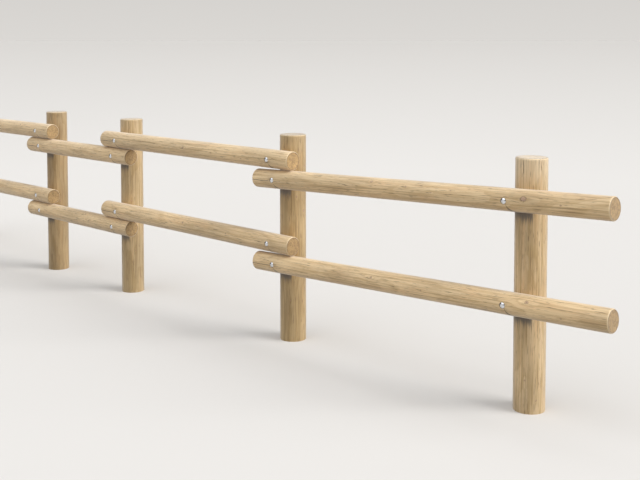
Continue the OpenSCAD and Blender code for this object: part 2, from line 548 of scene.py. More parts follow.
class Nodes:
    """Adds nodes to one shader tree and joins them."""

    def __init__(self, tree):
        self.tree = tree

    def add(self, kind, values=(), **settings):
        node = self.tree.nodes.new("ShaderNode" + kind)
        for name, value in settings.items():
            setattr(node, name, value)
        for socket, value in dict(values).items():
            self.put(node.inputs[socket], value)
        return node

    def put(self, socket, value):
        if isinstance(value, bpy.types.NodeSocket):
            self.tree.links.new(value, socket)
        else:
            socket.default_value = value

    def math(self, operation, first, second=0.0, third=0.0):
        return self.add("Math", {0: first, 1: second, 2: third}, operation=operation).outputs[0]

    def product(self, *factors):
        result = factors[0]
        for factor in factors[1:]:
            result = self.math("MULTIPLY", result, factor)
        return result

    def plus(self, first, second):
        return self.math("ADD", first, second)

    def minus(self, first, second):
        return self.math("SUBTRACT", first, second)

    def ratio(self, first, second):
        return self.math("DIVIDE", first, second)

    def larger(self, first, second):
        return self.math("MAXIMUM", first, second)

    def times_plus(self, first, second, added):
        return self.math("MULTIPLY_ADD", first, second, added)

    def vector(self, operation, first, second=ORIGIN):
        return self.add("VectorMath", {0: first, 1: second}, operation=operation).outputs

    def times(self, first, second):
        return self.vector("MULTIPLY", first, second)[0]

    def apart(self, first, second):
        return self.vector("SUBTRACT", first, second)[0]

    def length(self, vector):
        return self.vector("LENGTH", vector)["Value"]

    def parts(self, vector):
        return self.add("SeparateXYZ", {0: vector}).outputs

    def step(self, value, low, high, out_low=0.0, out_high=1.0):
        """Goes smoothly from out_low to out_high as value goes from low to high."""
        values = {"Value": value, "From Min": low, "From Max": high, "To Min": out_low, "To Max": out_high}
        return self.add("MapRange", values, interpolation_type="SMOOTHSTEP").outputs[0]

    def noise(self, place, waves, detail=2.0, roughness=0.5, output="Fac"):
        place = self.times(place, waves)
        values = {"Vector": place, "Scale": 1.0, "Detail": detail, "Roughness": roughness}
        return self.add("TexNoise", values, normalize=True).outputs[output]

    def blend(self, share, first, second, how="MIX"):
        return self.add("Mix", {0: share, 6: first, 7: second},
                        data_type="RGBA", blend_type=how, clamp_factor=True).outputs[2]

    def group(self, name, **values):
        """Adds one of the shared groups, made the first time that it is asked for."""
        tree = bpy.data.node_groups.get(name) or GROUP_MAKERS[name]()
        node = self.add("Group", node_tree=tree)
        for socket, value in values.items():
            self.put(node.inputs[socket.replace("_", " ")], value)
        return node.outputs


def colour4(shade):
    return (*shade, 1.0)


def new_group(name, inputs, outputs):
    """A shader node group, as its nodes, inputs and outputs. An input's value tells its kind."""
    tree = bpy.data.node_groups.new(name, "ShaderNodeTree")
    for label, value in inputs.items():
        kind = {ORIGIN: "Vector", WHITE: "Color"}.get(value, "Float")
        socket = tree.interface.new_socket(label, in_out="INPUT", socket_type="NodeSocket" + kind)
        socket.default_value = value
    for label, kind in outputs.items():
        tree.interface.new_socket(label, in_out="OUTPUT", socket_type="NodeSocket" + kind)
    given = tree.nodes.new("NodeGroupInput").outputs
    return Nodes(tree), given, tree.nodes.new("NodeGroupOutput").inputs


def make_knot_group():
    """Bends the grain round one knot, and notes how near the knot is."""
    nodes, given, out = new_group(
        "log knot",
        {"Place": ORIGIN, "Lift": 0.0, "Near": FAR_FROM_KNOTS, "Centre": ORIGIN, "Radius": 4 * MM,
         "Swirl": 1.0},
        {"Place": "Vector", "Lift": "Float", "Near": "Float"})
    offset = nodes.apart(given["Place"], given["Centre"])
    tight = nodes.ratio(nodes.length(nodes.times(offset, (1, 1, 0.8))), given["Radius"])
    wide = nodes.ratio(nodes.length(nodes.times(offset, (1, 1, 0.3))), nodes.product(given["Radius"], 2.3))
    close = nodes.math("EXPONENT", nodes.product(wide, wide, -1.0))
    pull = nodes.product(close, given["Swirl"])
    bend = nodes.product(pull, -0.55)
    shift = nodes.add("VectorMath", {0: nodes.times(offset, (1, 1, 0)), "Scale": bend},
                      operation="SCALE").outputs[0]
    nodes.put(out["Place"], nodes.vector("ADD", given["Place"], shift)[0])
    nodes.put(out["Lift"], nodes.plus(given["Lift"], nodes.product(pull, 4.5 * MM)))
    nodes.put(out["Near"], nodes.math("MINIMUM", given["Near"], tight))
    return nodes.tree


def growth_rings(nodes, given, place):
    """The way from the log's straying heart, and how far each growth ring has darkened."""
    stray = nodes.noise(place, WAVES["stray"], 1.0, output="Color")
    stray = nodes.times(nodes.apart(stray, (0.5, 0.5, 0.5)), (0.03, 0.03, 0))
    flat = nodes.times(given["Place"], (1, 1, 0))
    from_heart = nodes.vector("ADD", nodes.apart(flat, given["Heart"]), stray)[0]
    depth = nodes.plus(nodes.length(from_heart), given["Lift"])
    depth = nodes.times_plus(nodes.noise(place, WAVES["ripple"]), 5.5 * MM, depth)
    share = nodes.math("FRACT", nodes.ratio(depth, given["Ring Width"]))
    late = nodes.product(nodes.step(share, 0.35, 0.9), nodes.step(share, 0.93, 1.0, 1.0, 0.0))
    return from_heart, late


def long_grain(nodes, given, place, late, fibres, hairs, dashes):
    """The colour of the log's round side."""
    streaks = nodes.noise(place, WAVES["streaks"], 3.0, 0.55)
    patches = nodes.step(nodes.noise(place, WAVES["patches"]), 0.52, 0.72)
    tan = nodes.product(late, 0.34)
    tan = nodes.times_plus(nodes.step(fibres, 0.38, 0.66), 0.34, tan)
    tan = nodes.times_plus(nodes.step(streaks, 0.40, 0.64), 0.55, tan)
    tan = nodes.times_plus(hairs, 0.2, tan)
    wood = nodes.blend(tan, given["Pale"], given["Tan"])
    wood = nodes.blend(nodes.product(patches, 0.45), wood, given["Warm"])
    dark = nodes.product(dashes, nodes.step(fibres, 0.40, 0.56, 0.45, 0.98))
    lines = nodes.step(streaks, 0.58, 0.72, 0.0, 0.52)
    lines = nodes.larger(lines, nodes.step(hairs, 0.60, 0.72, 0.0, 0.55))
    return nodes.blend(nodes.larger(dark, lines), wood, given["Streak"])


def sawn_grain(nodes, given, place, from_heart, late, grit):
    """The colour of a sawn end: rings all round, rays from the heart, and dark patches."""
    ends = nodes.times_plus(grit, 0.5, nodes.times_plus(late, 0.75, 0.3))
    way = nodes.vector("NORMALIZE", from_heart)[0]
    outward = nodes.times(from_heart, (14, 14, 14))
    rays = nodes.noise(nodes.vector("ADD", nodes.times(way, (26, 26, 26)), outward)[0], (1, 1, 1))
    mottle = nodes.noise(place, WAVES["mottle"])
    sawn = nodes.blend(ends, given["Pale"], given["Tan"])
    sawn = nodes.blend(nodes.step(rays, 0.50, 0.64, 0.0, 0.7), sawn, given["Streak"])
    sawn = nodes.blend(nodes.step(mottle, 0.42, 0.68, 0.0, 0.5), sawn, given["Streak"])
    heart_spot = nodes.step(nodes.length(from_heart), 2 * MM, 5 * MM, 0.6, 0.0)
    sawn = nodes.blend(heart_spot, sawn, given["Knot"])
    return nodes.blend(1.0, sawn, given["Sawn"], "MULTIPLY")


def knot_marks(nodes, given, place, wood):
    """Adds the knots: a reddish middle with its own rings and fissures, and a broken dark rim."""
    near = nodes.times_plus(nodes.noise(place, WAVES["knot edge"]), 1.1, given["Near"])
    near = nodes.minus(near, 0.55)
    rings = nodes.math("FRACT", nodes.product(near, 3.5))
    inside = nodes.step(near, 0.85, 1.12, 1.0, 0.0)
    core = nodes.blend(nodes.product(rings, 0.5), given["Knot"], given["Warm"])
    wood = nodes.blend(nodes.product(inside, 0.85), wood, core)
    broken = nodes.step(nodes.noise(place, WAVES["knot breaks"], 1.0), 0.40, 0.58, 0.3, 1.0)
    rim = nodes.product(nodes.step(near, 0.8, 1.0), nodes.step(near, 1.0, 1.5, 1.0, 0.0), broken)
    fissures = nodes.product(nodes.step(nodes.noise(place, WAVES["knot fissures"], 1.0), 0.56, 0.66),
                             nodes.step(near, 0.7, 1.1, 0.85, 0.0))
    rim = nodes.larger(rim, fissures)
    wood = nodes.blend(rim, wood, given["Streak"])
    wood = nodes.blend(nodes.step(near, 0.1, 0.4, 0.85, 0.0), wood, given["Streak"])
    return wood, inside, rim


def make_grain_group():
    """Growth rings, fibres, dashes, patches and knots of a peeled log whose heart runs along Z."""
    nodes, given, out = new_group(
        "log grain",
        {"Place": ORIGIN, "Lift": 0.0, "Near": FAR_FROM_KNOTS, "End": 0.0, "Heart": ORIGIN,
         "Ring Width": 3.4 * MM, "Sawn": WHITE, "Pale": WHITE, "Tan": WHITE, "Streak": WHITE, "Warm": WHITE,
         "Knot": WHITE, "Seed": ORIGIN},
        {"Color": "Color", "Roughness": "Float", "Height": "Float"})
    place = nodes.vector("ADD", given["Place"], given["Seed"])[0]
    from_heart, late = growth_rings(nodes, given, place)
    fibres = nodes.noise(place, WAVES["fibres"], 3.0, 0.6)
    hairs = nodes.noise(place, WAVES["hairs"], 2.0, 0.6)
    dashes = nodes.step(nodes.noise(place, WAVES["dashes"], 1.0), 0.61, 0.71)
    grit = nodes.noise(place, WAVES["grit"])
    wood = long_grain(nodes, given, place, late, fibres, hairs, dashes)
    sawn = sawn_grain(nodes, given, place, from_heart, late, grit)
    wood = nodes.blend(given["End"], wood, sawn)
    wood, inside, rim = knot_marks(nodes, given, place, wood)
    tone = nodes.times_plus(nodes.noise(place, WAVES["tone"]), 0.8, 0.61)
    bright = nodes.add("CombineColor", {0: tone, 1: tone, 2: tone}).outputs[0]
    nodes.put(out["Color"], nodes.blend(1.0, wood, bright, "MULTIPLY"))
    rough = nodes.times_plus(fibres, 0.16, 0.46)
    rough = nodes.times_plus(given["End"], 0.14, rough)
    nodes.put(out["Roughness"], nodes.times_plus(inside, -0.1, rough))
    height = nodes.times_plus(fibres, 0.5, nodes.product(late, 0.22))
    height = nodes.times_plus(hairs, 0.22, height)
    height = nodes.times_plus(dashes, -0.45, height)
    height = nodes.times_plus(grit, nodes.product(given["End"], 0.5), height)
    nodes.put(out["Height"], nodes.times_plus(rim, -0.3, height))
    return nodes.tree


def make_crack_group():
    """Tells a log's parts apart: the walls of its cracks and holes, which are painted dark as shade, its
    sawn ends and its bevels.
    """
    nodes, given, out = new_group(
        "log crack",
        {"Place": ORIGIN, "Facing": ORIGIN, "Radius": 50 * MM, "Bevel": 4 * MM},
        {"Mask": "Float", "End": "Float", "Bevel": "Float", "Rim": "Float"})
    flat = nodes.times(given["Place"], (1, 1, 0))
    below = nodes.minus(given["Radius"], nodes.length(flat))
    outward = nodes.vector("NORMALIZE", flat)[0]
    square = nodes.math("ABSOLUTE", nodes.vector("DOT_PRODUCT", outward, given["Facing"])["Value"])
    along = nodes.math("ABSOLUTE", nodes.parts(given["Facing"])[2])
    deep = nodes.step(below, 0.9 * MM, 2.6 * MM)
    sideways = nodes.step(square, 0.5, 0.75, 1.0, 0.0)
    end = nodes.step(along, 0.8, 0.95)
    nodes.put(out["Mask"], nodes.product(deep, sideways, nodes.minus(1.0, end)))
    nodes.put(out["End"], end)
    sloping = nodes.product(nodes.step(along, 0.3, 0.5), nodes.step(along, 0.8, 0.9, 1.0, 0.0))
    shallow = nodes.step(below, 6.2 * MM, 7.5 * MM, 1.0, 0.0)
    nodes.put(out["Bevel"], nodes.product(sloping, shallow))
    inward = nodes.minus(below, given["Bevel"])
    reach = nodes.product(nodes.noise(given["Place"], WAVES["rim"]), 13 * MM)
    rim = nodes.step(nodes.ratio(inward, reach), 0.2, 1.0, 0.95, 0.0)
    nodes.put(out["Rim"], nodes.product(rim, end))
    return nodes.tree


def make_shade_and_stain_group():
    """Mostly painted shadow of a rail, with a little grey stain, on the left of a post's front, from the
    rail's underside down to a ragged edge.
    """
    nodes, given, out = new_group(
        "run-off", {"Place": ORIGIN, "Mask": 0.0, "Underside": 0.0, "Drop": 50 * MM}, {"Mask": "Float"})
    part = nodes.parts(given["Place"])
    angle = nodes.math("ARCTAN2", part[1], part[0])
    below = nodes.minus(given["Underside"], part[2])
    ragged = nodes.noise(given["Place"], WAVES["drips"], 2.0, 0.6)
    drop = nodes.product(given["Drop"], nodes.step(ragged, 0.3, 0.7, 0.6, 1.5))
    low_edge = nodes.step(nodes.ratio(below, drop), 0.45, 1.1, 1.0, 0.0)
    top_edge = nodes.step(below, -45 * MM, -35 * MM)
    right = nodes.step(angle, 0.60, 0.72, 1.0, 0.0)
    left = nodes.step(angle, -1.35, -1.0)
    nodes.put(out["Mask"], nodes.larger(given["Mask"], nodes.product(low_edge, top_edge, right, left)))
    return nodes.tree


def make_lighten_group():
    """How much lighter a post is made: most near its top, with a ragged lower edge."""
    nodes, given, out = new_group("bleach", {"Place": ORIGIN, "Top": 1.0}, {"Mask": "Float"})
    below = nodes.minus(given["Top"], nodes.parts(given["Place"])[2])
    below = nodes.times_plus(nodes.noise(given["Place"], WAVES["bleach edge"]), 90 * MM, below)
    nodes.put(out["Mask"], nodes.step(below, 70 * MM, 190 * MM, 1.0, 0.0))
    return nodes.tree


def make_bolt_mark_group():
    """The painted shade round a bolt's head, and a dark line that curves from it to the rail's underside.
    """
    nodes, given, out = new_group(
        "bolt mark", {"Place": ORIGIN, "Mask": 0.0, "Head": ORIGIN, "Width": 1.6 * MM}, {"Mask": "Float"})
    part = nodes.parts(given["Place"])
    angle = nodes.math("ARCTAN2", part[1], part[0])
    waver = nodes.noise(given["Place"], WAVES["waver"], 1.0)
    curve = nodes.times_plus(nodes.product(angle, angle), 17 * MM, 6 * MM)
    curve = nodes.times_plus(waver, 5 * MM, curve)
    beside = nodes.minus(nodes.minus(part[2], nodes.parts(given["Head"])[2]), curve)
    spread = nodes.product(given["Width"], nodes.step(angle, 0.4, 0.95, 0.9, 5.0))
    across = nodes.ratio(nodes.math("ABSOLUTE", beside), spread)
    line = nodes.product(nodes.step(across, 0.5, 1.5, 1.0, 0.0), nodes.step(angle, 0.4, 0.85, 0.55, 0.85),
                         nodes.step(angle, 0.16, 0.26), nodes.step(angle, 1.25, 1.55, 1.0, 0.0))
    head = nodes.times(nodes.apart(given["Place"], given["Head"]), (0, 1, 1))
    from_head = nodes.times_plus(waver, -2 * MM, nodes.length(head))
    # Painted shade: a dark ring round the head, where it meets the wood.
    ring = nodes.step(from_head, 11.6 * MM, 14.5 * MM, 0.8, 0.0)
    ring = nodes.product(ring, nodes.step(part[0], 0.0, 10 * MM))
    nodes.put(out["Mask"], nodes.larger(given["Mask"], nodes.larger(line, ring)))
    return nodes.tree


def make_zinc_group():
    """Zinc with faint crystals, dull patches and fine rubbing marks."""
    nodes, given, out = new_group(
        "zinc finish", {"Place": ORIGIN, "Bright": WHITE, "Dull": WHITE, "Wear": 0.5},
        {"Color": "Color", "Roughness": "Float", "Height": "Float"})
    crystal = nodes.add("TexVoronoi", {"Vector": given["Place"], "Scale": 900.0}).outputs["Distance"]
    cloud = nodes.noise(given["Place"], (190, 190, 190), 3.0)
    rub = nodes.noise(given["Place"], (2600, 300, 2600))
    dull = nodes.product(nodes.step(cloud, 0.42, 0.7), given["Wear"])
    dull = nodes.times_plus(crystal, 0.25, dull)
    nodes.put(out["Color"], nodes.blend(dull, given["Bright"], given["Dull"]))
    rough = nodes.times_plus(dull, 0.28, 0.11)
    nodes.put(out["Roughness"], nodes.times_plus(rub, 0.08, rough))
    nodes.put(out["Height"], nodes.times_plus(rub, 0.4, crystal))
    return nodes.tree


GROUP_MAKERS = {
    "log knot": make_knot_group,
    "log grain": make_grain_group,
    "log crack": make_crack_group,
    "run-off": make_shade_and_stain_group,
    "bleach": make_lighten_group,
    "bolt mark": make_bolt_mark_group,
    "zinc finish": make_zinc_group,
}


def new_material(name):
    """A material with a Principled shader, as the material, its nodes and the shader."""
    material = bpy.data.materials.new(name)
    material.use_nodes = True
    nodes = Nodes(material.node_tree)
    return material, nodes, material.node_tree.nodes["Principled BSDF"]


def bump(nodes, shader, height, distance, strength):
    values = {"Height": height, "Distance": distance, "Strength": strength}
    nodes.put(shader.inputs["Normal"], nodes.add("Bump", values).outputs[0])


def wood_material(name, sizes, colours, radius, bevel, knots, chance, top=None, lightening=0.0, shade_and_stain_undersides=(),
                  bolt_marks=()):
    """The wood of one log, with its own heart, knots, stains and painted shade."""
    material, nodes, shader = new_material(name)
    coordinates = nodes.add("TexCoord").outputs
    place, lift, near = coordinates["Object"], 0.0, FAR_FROM_KNOTS
    for knot in knots:
        bent = nodes.group("log knot", Place=place, Lift=lift, Near=near, Centre=knot.centre(radius),
                           Radius=knot.radius, Swirl=knot.swirl)
        place, lift, near = bent["Place"], bent["Lift"], bent["Near"]
    place_here = {"Place": coordinates["Object"]}
    found = nodes.group("log crack", **place_here, Facing=coordinates["Normal"], Radius=radius, Bevel=bevel)
    angle = chance.uniform(0, TURN)
    stray = chance.uniform(0.10, 0.22) * radius
    seed = [chance.uniform(-5, 5) for _ in range(3)]
    ring_width = sizes.ring_width * chance.uniform(0.9, 1.25)
    shades = {label: colour4(shade) for label, shade in colours.items()}
    grain = nodes.group("log grain", Place=place, Lift=lift, Near=near, End=found["End"],
                        Heart=(stray * math.cos(angle), stray * math.sin(angle), 0), Ring_Width=ring_width,
                        Seed=seed, **shades)
    wood = grain["Color"]
    if top:
        bleach = nodes.group("bleach", **place_here, Top=top)["Mask"]
        wood = nodes.blend(nodes.product(bleach, lightening), wood, colour4(sizes.top_lightening), "ADD")
    mark = 0.0
    # Painted shade, mostly the rails' shadow with a little grey stain, on the post below each lowest rail.
    for underside in shade_and_stain_undersides:
        mark = nodes.group("run-off", **place_here, Mask=mark, Underside=underside)["Mask"]
    if shade_and_stain_undersides:
        wood = nodes.blend(nodes.product(mark, 0.88), wood, colour4(sizes.shade_and_stain))
    mark = 0.0
    # Painted shade round each bolt's head, and a dark line below it, in the crack colour.
    for height in bolt_marks:
        mark = nodes.group("bolt mark", **place_here, Mask=mark, Head=(0, 0, height))["Mask"]
    if bolt_marks:
        wood = nodes.blend(mark, wood, colour4(sizes.crack))
    wood = nodes.blend(nodes.product(found["Bevel"], 0.6), wood, colour4(sizes.bevel))
    wood = nodes.blend(nodes.product(found["Rim"], 0.7), wood, colour4(sizes.streak))
    # Painted shade: the walls of cracks and holes are coloured almost black.
    wood = nodes.blend(found["Mask"], wood, colour4(sizes.crack))
    nodes.put(shader.inputs["Base Color"], wood)
    nodes.put(shader.inputs["Roughness"], grain["Roughness"])
    shader.inputs["Sheen Weight"].default_value = 0.7
    shader.inputs["Sheen Roughness"].default_value = 0.4
    bump(nodes, shader, grain["Height"], 0.5 * MM, 0.8)
    return material


def zinc_material(name, steel, wear):
    material, nodes, shader = new_material(name)
    zinc = nodes.group("zinc finish", Place=nodes.add("TexCoord").outputs["Object"],
                       Bright=colour4(steel.bright), Dull=colour4(steel.dull), Wear=wear)
    nodes.put(shader.inputs["Base Color"], zinc["Color"])
    nodes.put(shader.inputs["Roughness"], zinc["Roughness"])
    shader.inputs["Metallic"].default_value = 1.0
    bump(nodes, shader, zinc["Height"], 0.05 * MM, 0.4)
    return material


# ---------------------------------------------------------------- steel


def lathe(rings, columns, centre, matrix):
    """Points and faces of rings round an axis, as (height, radius or radius at an angle).

    With a centre, a fan closes each end. Without one, the last ring joins the first.
    """
    points = []
    for height, radius in rings:
        for column in range(columns):
            angle = TURN * column / columns
            reach = radius(angle) if callable(radius) else radius
            points.append(Vector((reach * math.cos(angle), reach * math.sin(angle), height)))
    faces = ring_faces(len(rings), columns)
    if centre:
        for ring, height in ((0, rings[0][0]), (len(rings) - 1, rings[-1][0])):
            middle = len(points)
            points.append(Vector((0, 0, height)))
            start = ring * columns
            faces += [(start + column, start + (column + 1) % columns, middle) for column in range(columns)]
    else:
        last = (len(rings) - 1) * columns
        faces += [(last + c, last + (c + 1) % columns, (c + 1) % columns, c) for c in range(columns)]
    return [matrix @ point for point in points], faces


def across_fence(x, y, z, turned=0.0):
    """Puts a steel piece's Z along a bolt, toward the back of the fence."""
    return Matrix.Translation((x, y, z)) @ Matrix.Rotation(math.radians(-90), 4, "X") @ Matrix.Rotation(
        turned, 4, "Z")


# The dome head's rings and thin edge, and the thread's length, depth and rings in each turn.
DOME_STEPS = 14
DOME_EDGE = 0.9 * MM
THREAD_LENGTH = 20 * MM
THREAD_DEPTH = 0.8 * MM
THREAD_STEPS = 5
BOLT_COLUMNS = 48


def dome_rings(head, high):
    """The rings of a dome head, from its top down to the flat under it."""
    rise = high - DOME_EDGE
    dome = (head ** 2 + rise ** 2) / (2 * rise)
    rings = []
    for step in range(1, DOME_STEPS + 1):
        out = head * math.sin(step / DOME_STEPS * math.pi / 2)
        rings.append((-DOME_EDGE - (math.sqrt(dome ** 2 - out ** 2) - (dome - rise)), out))
    rings[0] = (rings[0][0], 0.5 * rings[0][1])
    return rings + [(-0.35 * DOME_EDGE, head), (-0.1 * MM, head - 0.25 * MM), (0, head - 0.5 * MM)]


def thread_rings(shank, pitch, start, end):
    """The rings of a thread, which grows to its full depth over its first 2 mm."""
    def groove(height):
        deep = min(1.0, (height - start) / (2 * MM)) * THREAD_DEPTH
        return lambda angle: shank - deep * (1 - abs(2 * ((height / pitch - angle / TURN) % 1) - 1))

    steps = int((end - 1.2 * MM - start) / (pitch / THREAD_STEPS))
    heights = [start + step * pitch / THREAD_STEPS for step in range(1, steps + 1)]
    return [(height, groove(height)) for height in heights]


def bolt_mesh(name, bolt, steel):
    """A dome head with a thin edge, a square neck, a shank and a rolled thread."""
    lo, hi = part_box(bolt)
    x, z = bolt_place(bolt)
    high, shank, neck = steel.head_height, steel.shank_diameter / 2, steel.neck_length
    total = hi.y - lo.y - high
    start = total - THREAD_LENGTH

    def square(angle):
        return shank / max(abs(math.cos(angle)), abs(math.sin(angle)))

    rings = dome_rings(steel.head_diameter / 2, high)
    rings += [(0, square), (neck - 0.3 * MM, square), (neck, shank), (neck + 1 * MM, shank), (start, shank)]
    rings += thread_rings(shank, steel.thread_pitch, start, total)
    rings += [(total - 0.6 * MM, shank - 0.9 * MM), (total, shank - 1.4 * MM)]
    points, faces = lathe(rings, BOLT_COLUMNS, True, Matrix.Identity(4))
    thing = add_object(name, points, faces, across_fence(x, lo.y + high, z))
    make_outward(thing.data)
    return thing


NUT_COLUMNS = 72
WASHER_COLUMNS = 64


def hexagon(width):
    def radius(angle):
        return width / 2 / math.cos((angle % (TURN / 6)) - TURN / 12)
    return radius


def nut_points(steel, thickness, matrix):
    """A six-sided nut with its corners turned down at both faces."""
    flat = hexagon(steel.nut_width)
    bore = steel.shank_diameter / 2 + 0.1 * MM

    def turned_down(limit):
        return lambda angle: min(flat(angle), limit)

    half, soft = steel.nut_width / 2, 0.5 * MM
    rings = [(0, turned_down(half * 0.97)), (0.25 * MM, turned_down(half)),
             (0.8 * MM, turned_down(half * 1.07)), (1.5 * MM, turned_down(half * 1.16))]
    rings += [(thickness - height, radius) for height, radius in reversed(rings)]
    rings += [(thickness, bore + soft), (thickness - soft, bore), (soft, bore), (0, bore + soft)]
    return lathe(rings, NUT_COLUMNS, False, matrix)


def washer_points(steel, thickness, matrix):
    outer, bore, soft = steel.washer_diameter / 2, steel.bore_diameter / 2, 0.3 * MM
    rings = [(0, outer - soft), (soft, outer), (thickness - soft, outer), (thickness, outer - soft),
             (thickness, bore + soft), (thickness - soft, bore), (soft, bore), (0, bore + soft)]
    return lathe(rings, WASHER_COLUMNS, False, matrix)


def steel_sets(steel, nodes, make, label, wear, seed, spread):
    """All the nuts or all the washers. Those on one post are one piece."""
    material = zinc_material(label, steel, wear)
    chance = random.Random(seed)
    for node, post in zip(nodes, POSTS):
        lo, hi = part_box(node)
        points, faces = [], []
        for bolt in post_bolts(post):
            x, z = bolt_place(bolt)
            matrix = across_fence(x, lo.y, z, chance.uniform(-spread, spread))
            more, sides = make(steel, hi.y - lo.y, matrix)
            faces += [tuple(corner + len(points) for corner in side) for side in sides]
            points += more
        thing = add_object("set_" + node, points, faces)
        make_outward(thing.data)
        finish_piece(thing, material, "zinc_steel", node, sharp=28)


# ---------------------------------------------------------------- operators

# How many sides the cutters have, how far they run past a log, and the flat wood round a head or washer.
SADDLE_SIDES = 128
HOLE_SIDES = 40
RECESS_SIDES = 64
PAST_POST = 30 * MM
PAST_RAIL = 20 * MM
FLAT_MARGIN = 1 * MM
# Each post and rail has its own draws, from its number and one of these.
POST_SEED = 100
RAIL_SEED = 200
# Rails whose undersides are nearer than this at a post are a lapped pair.
LAP = 130 * MM


class FENCE_OT_posts(bpy.types.Operator):
    """Makes the five peeled log posts, with the saddles, holes and recesses cut into them"""

    bl_idname = "fence.posts"
    bl_label = "Posts"

    def execute(self, context):
        wood, steel = context.scene.fence_wood, context.scene.fence_steel
        for number, post in enumerate(POSTS):
            chance = random.Random(POST_SEED + number)
            foot, top = post_axis(post)
            radius, high = post_radius(post), top.z - foot.z
            knots = log_knots(post, high, chance)
            cracks = log_cracks(post, high, chance)
            places = [bolt_place(bolt) for bolt in post_bolts(post)]
            matrix = Matrix.Translation(foot) @ place_on((top - foot).normalized())
            log = log_mesh("log_" + post, matrix, high, radius, (0, wood.post_bevel), cracks, knots,
                           [z for _, z in places], wood.waviness, seed=number + 1)
            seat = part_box(WASHERS[number])[0].y
            recess = steel.washer_diameter / 2 + FLAT_MARGIN
            cutters = []
            for bolt, (x, z) in zip(post_bolts(post), places):
                start, end = rail_axis(bolt_rail(bolt), wood.rail_bevel)
                saddle = rail_radius(bolt_rail(bolt)) + wood.seat_gap
                cutters.append(bar("saddle", start, end, saddle, SADDLE_SIDES))
                front = Vector((x, foot.y - radius - PAST_POST, z))
                back = Vector((x, foot.y + radius + PAST_POST, z))
                cutters.append(bar("hole", front, back, steel.bore_diameter / 2, HOLE_SIDES))
                cutters.append(bar("recess", Vector((x, seat, z)), back, recess, RECESS_SIDES))
            cut(log, cutters)
            rails = [bolt_rail(bolt) for bolt in post_bolts(post)]
            undersides = sorted({round(rail_under(rail, foot.x, wood), 5) for rail in rails})
            # Only the lower rail of a lapped pair has painted shade and stain under it.
            lowest = [z for z in undersides if all(not 0 < z - low < LAP for low in undersides)]
            shade = POST_SHADES[number % len(POST_SHADES)]
            colours = {"Pale": shaded(wood.post_pale, shade), "Tan": shaded(wood.post_tan, shade),
                       "Streak": wood.streak, "Warm": shaded(wood.warm, shade), "Knot": wood.knot,
                       "Sawn": (1.1, 1.1, 1.1)}
            material = wood_material(post + " wood", wood, colours, radius, wood.post_bevel, knots, chance,
                                     top=high, lightening=shade[3], shade_and_stain_undersides=[z - foot.z for z in lowest])
            finish_piece(log, material, "post_wood", post)
        return {"FINISHED"}


def rail_under(rail, x, wood):
    """Height of a rail's underside at a place along the fence."""
    start, end = rail_axis(rail, wood.rail_bevel)
    share = (x - start.x) / (end.x - start.x)
    return start.z + share * (end.z - start.z) - rail_radius(rail)


class FENCE_OT_rails(bpy.types.Operator):
    """Makes the eight peeled log rails, with the flats, pockets and holes for their bolts"""

    bl_idname = "fence.rails"
    bl_label = "Rails"

    def execute(self, context):
        wood, steel = context.scene.fence_wood, context.scene.fence_steel
        clear = 0.2 * MM
        for number, rail in enumerate(RAILS):
            chance = random.Random(RAIL_SEED + number)
            start, end = rail_axis(rail, wood.rail_bevel)
            along = (end - start).normalized()
            radius, reach = rail_radius(rail), (end - start).length
            knots = log_knots(rail, reach, chance)
            cracks = log_cracks(rail, reach, chance)
            matrix = Matrix.Translation(start) @ place_on(along)
            heights, cutters = [], []
            for bolt in rail_bolts(rail):
                x, z = bolt_place(bolt)
                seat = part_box(bolt)[0].y + steel.head_height
                heights.append((Vector((x, start.y, z)) - start).dot(along))
                front = Vector((x, start.y - radius - PAST_RAIL, z))
                back = Vector((x, start.y + radius + PAST_RAIL, z))
                flat = steel.head_diameter / 2 + FLAT_MARGIN
                cutters.append(bar("flat", front, Vector((x, seat, z)), flat, RECESS_SIDES))
                cutters.append(bar("hole", front, back, steel.bore_diameter / 2, HOLE_SIDES))
                cutters.append(neck_pocket("pocket", x, seat - 1 * MM, z, steel.shank_diameter + clear,
                                           steel.neck_length + clear + 1 * MM))
            log = log_mesh("log_" + rail, matrix, reach, radius, (wood.rail_bevel, wood.rail_bevel), cracks,
                           knots, heights, wood.waviness, seed=number + 11)
            cut(log, cutters)
            colours = {"Pale": wood.pale, "Tan": wood.tan, "Streak": wood.streak, "Warm": wood.warm,
                       "Knot": wood.knot, "Sawn": (0.72, 0.665, 0.56)}
            material = wood_material(rail + " wood", wood, colours, radius, wood.rail_bevel, knots, chance,
                                     bolt_marks=heights)
            finish_piece(log, material, "rail_wood", rail)
        return {"FINISHED"}


class FENCE_OT_bolts(bpy.types.Operator):
    """Makes the dome head bolts"""

    bl_idname = "fence.bolts"
    bl_label = "Bolts"

    def execute(self, context):
        steel = context.scene.fence_steel
        material = zinc_material("bolt zinc", steel, 0.35)
        for bolt in BOLTS:
            finish_piece(bolt_mesh("dome_" + bolt, bolt, steel), material, "zinc_steel", bolt, sharp=40)
        return {"FINISHED"}


class FENCE_OT_washers(bpy.types.Operator):
    """Makes the washers in the recesses at the back of each post"""

    bl_idname = "fence.washers"
    bl_label = "Washers"

    def execute(self, context):
        steel_sets(context.scene.fence_steel, WASHERS, washer_points, "washer zinc",
                   wear=0.9, seed=7, spread=math.pi)
        return {"FINISHED"}


class FENCE_OT_nuts(bpy.types.Operator):
    """Makes the nuts on the bolts at the back of each post"""

    bl_idname = "fence.nuts"
    bl_label = "Nuts"

    def execute(self, context):
        steel_sets(context.scene.fence_steel, NUTS, nut_points, "nut zinc",
                   wear=0.6, seed=8, spread=0.35)
        return {"FINISHED"}


# Each lamp: its setting, the direction that it stands in (0 is in front of the fence and 90 at its
# right), its height above the horizon and its softness in degrees, and its colour.
LAMPS = (
    ("top", 30, 82, 70, (1.0, 0.99, 0.975)),
    ("side", 113, 27, 42, (1.0, 0.985, 0.96)),
    ("fill", -20, 35, 80, (0.96, 0.98, 1.0)),
)


